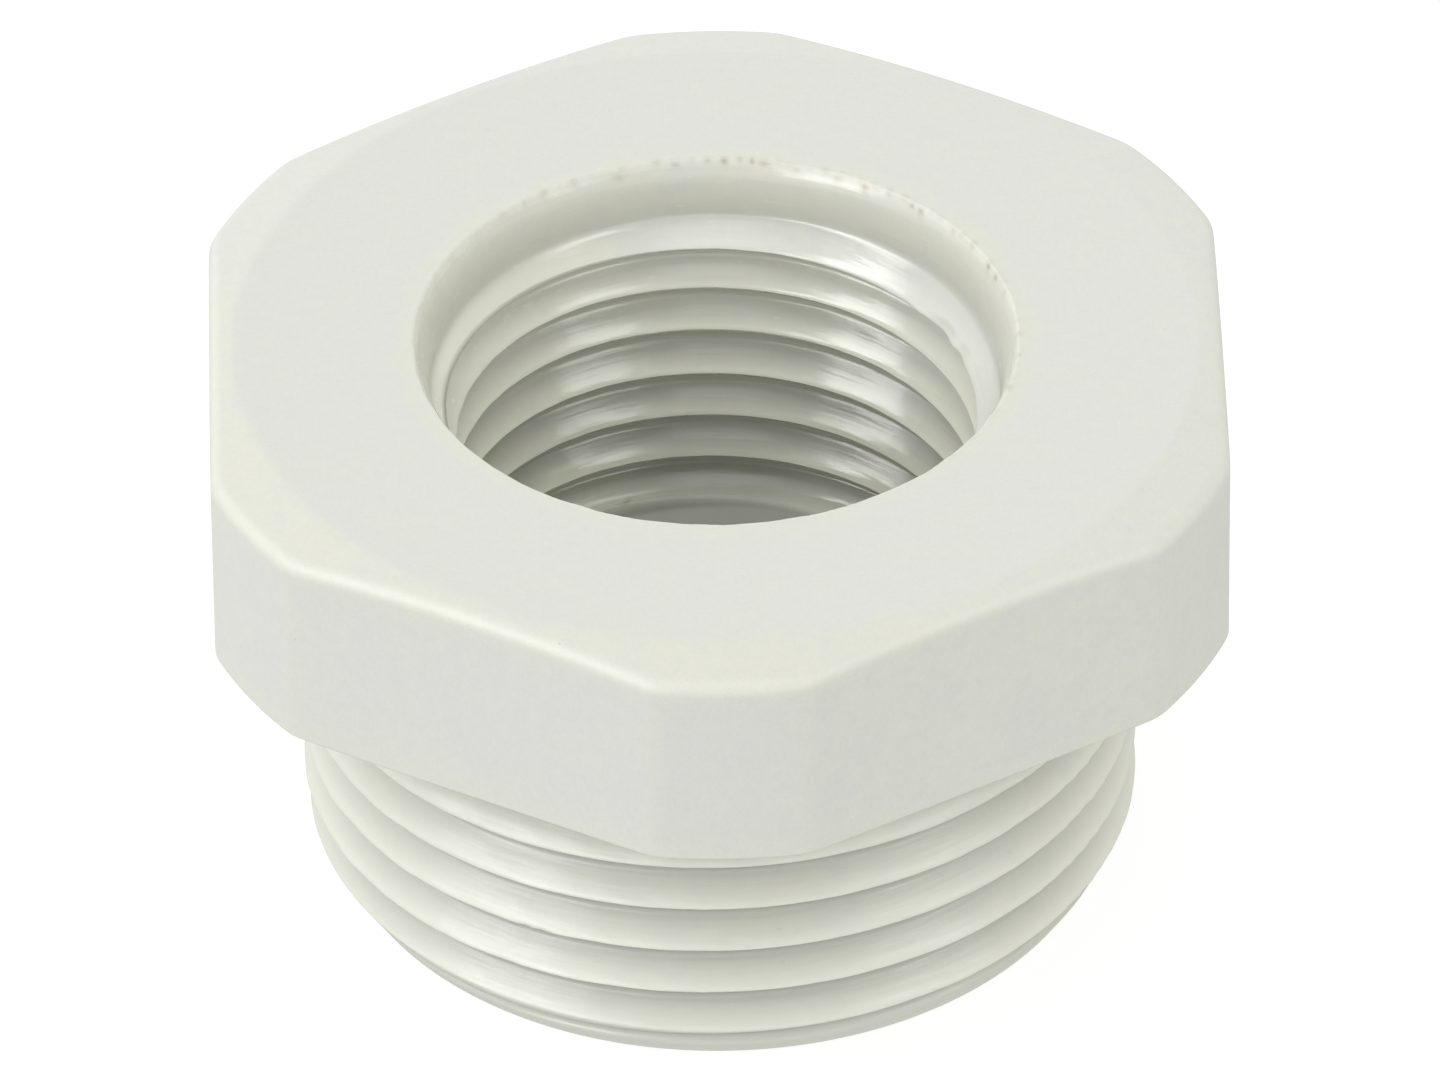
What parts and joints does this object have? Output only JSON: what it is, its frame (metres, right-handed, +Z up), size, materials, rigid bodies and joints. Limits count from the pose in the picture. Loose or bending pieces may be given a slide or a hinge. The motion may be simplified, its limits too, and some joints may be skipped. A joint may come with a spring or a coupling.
{
  "type": "thread reducer",
  "caption": "Moulded hexagon thread reducer with an outer conduit thread below its flange and a smaller conduit thread inside.",
  "frame": {"origin": "on the thread axis, at the end face of the outer thread", "axes": "+Z up the axis, from the thread end to the flange; +X through the middle of a spanner flat"},
  "size_m": [0.027, 0.0292, 0.016],
  "materials": {
    "light_grey_polyamide": "light grey moulded polyamide, matte flange and satin threads"
  },
  "bodies": {
    "root": {"reducer_body": "light_grey_polyamide"}
  },
  "joints": []
}
